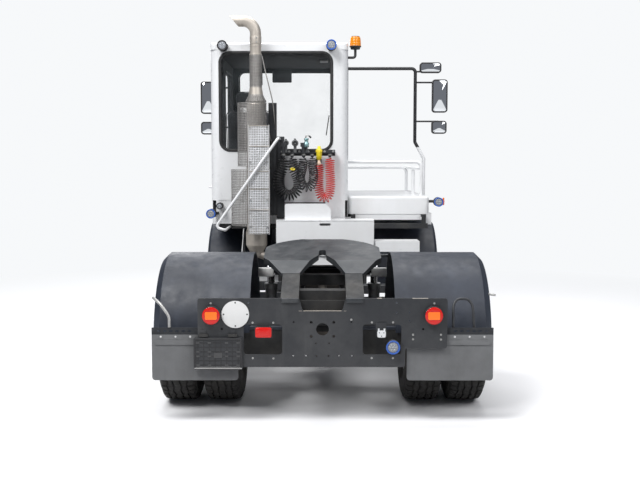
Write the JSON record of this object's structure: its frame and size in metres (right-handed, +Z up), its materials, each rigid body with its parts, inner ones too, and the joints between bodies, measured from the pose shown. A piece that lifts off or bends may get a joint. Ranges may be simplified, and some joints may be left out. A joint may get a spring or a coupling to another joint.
{
  "type": "terminal tractor",
  "caption": "Low yard tractor with a one-man cab on the left, an engine hood with a guard rail beside it and a lifting fifth wheel over twin rear wheels.",
  "frame": {"origin": "on the ground in the middle of the vehicle's length and width", "axes": "+Y forward, towards the bumper; +X to the driver's right; +Z up"},
  "size_m": [2.9, 5.3, 3.2728],
  "materials": {
    "white_paint": "satin, weathered",
    "black_paint": "satin, dusty",
    "frame_paint": "satin, dusty",
    "cast_grey": "rough, oily",
    "bright_steel": "brushed",
    "chrome_rod": "polished",
    "tyre_rubber": "matte",
    "flap_rubber": "matte, dusty",
    "rim_paint": "satin",
    "fender_plastic": "matte",
    "cab_plastic": "matte",
    "lamp_plastic": "glossy",
    "window_glass": "clear",
    "seat_fabric": "woven",
    "line_black": "satin",
    "line_red": "satin"
  },
  "bodies": {
    "chassis": {"chassis_frame": "frame_paint", "cab_subframe": "frame_paint", "rear_plate": "black_paint", "rear_lamps": "lamp_plastic", "rear_fittings": "black_paint", "mudflaps": "flap_rubber", "rear_axle": "cast_grey", "front_axle": "cast_grey", "rear_fender_left": "fender_plastic", "rear_fender_right": "fender_plastic", "front_fender_left": "fender_plastic", "front_fender_right": "fender_plastic", "drive_line": "cast_grey", "cab_floor": "cab_plastic", "cab_back": "white_paint", "cab_right": "white_paint", "cab_left": "white_paint", "cab_front": "white_paint", "cab_roof": "white_paint", "cab_glass": "window_glass", "seat_base": "cab_plastic", "seat_cushions": "seat_fabric", "dashboard": "cab_plastic", "engine_hood": "white_paint", "hood_rail": "white_paint", "mirror_frame": "black_paint", "mirror_heads": "cab_plastic", "exhaust_stack": "bright_steel", "exhaust_guard": "bright_steel", "equipment_box": "white_paint", "line_rack": "black_paint", "line_black_large": "line_black", "line_black_small": "line_black", "line_red": "line_red", "side_tanks": "black_paint", "side_steps": "white_paint", "front_bumper": "white_paint", "nose_panel": "white_paint", "lamps": "lamp_plastic", "grab_rail": "white_paint"},
    "boom": {"lift_boom": "frame_paint"},
    "fifth_wheel_plate": {"fifth_wheel": "cast_grey"},
    "barrels": {"lift_barrels": "frame_paint"},
    "rods": {"lift_rods": "chrome_rod"},
    "knuckle_left": {"knuckle_left": "cast_grey"},
    "knuckle_right": {"knuckle_right": "cast_grey"},
    "tie_rod": {"tie_rod": "bright_steel"},
    "wheel_front_left": {"front_tyre_left": "tyre_rubber", "front_rim_left": "rim_paint"},
    "wheel_front_right": {"front_tyre_right": "tyre_rubber", "front_rim_right": "rim_paint"},
    "wheel_rear_left": {"rear_tyre_left": "tyre_rubber", "rear_rim_left": "rim_paint"},
    "wheel_rear_right": {"rear_tyre_right": "tyre_rubber", "rear_rim_right": "rim_paint"},
    "steering_wheel": {"steering_wheel": "cab_plastic"},
    "door": {"cab_door": "white_paint", "door_glass": "window_glass"},
    "box_flap": {"box_flap": "white_paint"}
  },
  "joints": [
    {"name": "boom_lift", "type": "hinge", "parent": "chassis", "child": "boom", "pos_m": [0, -0.25, 0.79], "axis": [-1, 0, 0], "range_deg": [0, 22]},
    {"name": "fifth_wheel_pitch", "type": "hinge", "parent": "boom", "child": "fifth_wheel_plate", "pos_m": [0, -1.63, 1.04], "axis": [-1, 0, 0], "range_deg": [0, 21]},
    {"name": "barrel_swing", "type": "hinge", "parent": "chassis", "child": "barrels", "pos_m": [0, -1.34, 0.4], "axis": [-1, 0, 0], "range_deg": [0, 10]},
    {"name": "rod_slide", "type": "slide", "parent": "barrels", "child": "rods", "axis": [0, -0.0535, 0.9986], "range_m": [0, 0.42]},
    {"name": "steer_left", "type": "hinge", "parent": "chassis", "child": "knuckle_left", "pos_m": [-0.85, 1.27, 0.525], "axis": [0, 0, 1], "range_deg": [-40, 40]},
    {"name": "steer_right", "type": "hinge", "parent": "chassis", "child": "knuckle_right", "pos_m": [0.85, 1.27, 0.525], "axis": [0, 0, 1], "range_deg": [-40, 40]},
    {"name": "tie_rod_swing", "type": "hinge", "parent": "knuckle_left", "child": "tie_rod", "pos_m": [-0.85, 1.07, 0.375], "axis": [0, 0, 1], "range_deg": [-40, 40]},
    {"name": "front_left_roll", "type": "hinge", "parent": "knuckle_left", "child": "wheel_front_left", "pos_m": [-1.01, 1.27, 0.525], "axis": [1, 0, 0], "continuous": true},
    {"name": "front_right_roll", "type": "hinge", "parent": "knuckle_right", "child": "wheel_front_right", "pos_m": [1.01, 1.27, 0.525], "axis": [1, 0, 0], "continuous": true},
    {"name": "rear_left_roll", "type": "hinge", "parent": "chassis", "child": "wheel_rear_left", "pos_m": [-0.925, -1.83, 0.525], "axis": [1, 0, 0], "continuous": true},
    {"name": "rear_right_roll", "type": "hinge", "parent": "chassis", "child": "wheel_rear_right", "pos_m": [0.925, -1.83, 0.525], "axis": [1, 0, 0], "continuous": true},
    {"name": "steering_wheel_turn", "type": "hinge", "parent": "chassis", "child": "steering_wheel", "pos_m": [-0.775, 1.81, 2.01], "axis": [0, -0.5, 0.866], "continuous": true},
    {"name": "door_swing", "type": "hinge", "parent": "chassis", "child": "door", "pos_m": [-1.134, 1.296, 1.62], "axis": [0, 0, -1], "range_deg": [0, 80]},
    {"name": "box_flap_drop", "type": "hinge", "parent": "chassis", "child": "box_flap", "pos_m": [0, -0.044, 0.956], "axis": [1, 0, 0], "range_deg": [0, 90]}
  ],
  "couplings": [
    {"joint": "barrel_swing", "follows": "boom_lift", "ratio": 0.44},
    {"joint": "rod_slide", "follows": "boom_lift", "m_per_rad": 1.0783},
    {"joint": "steer_right", "follows": "steer_left", "ratio": 1},
    {"joint": "tie_rod_swing", "follows": "steer_left", "ratio": -1}
  ]
}
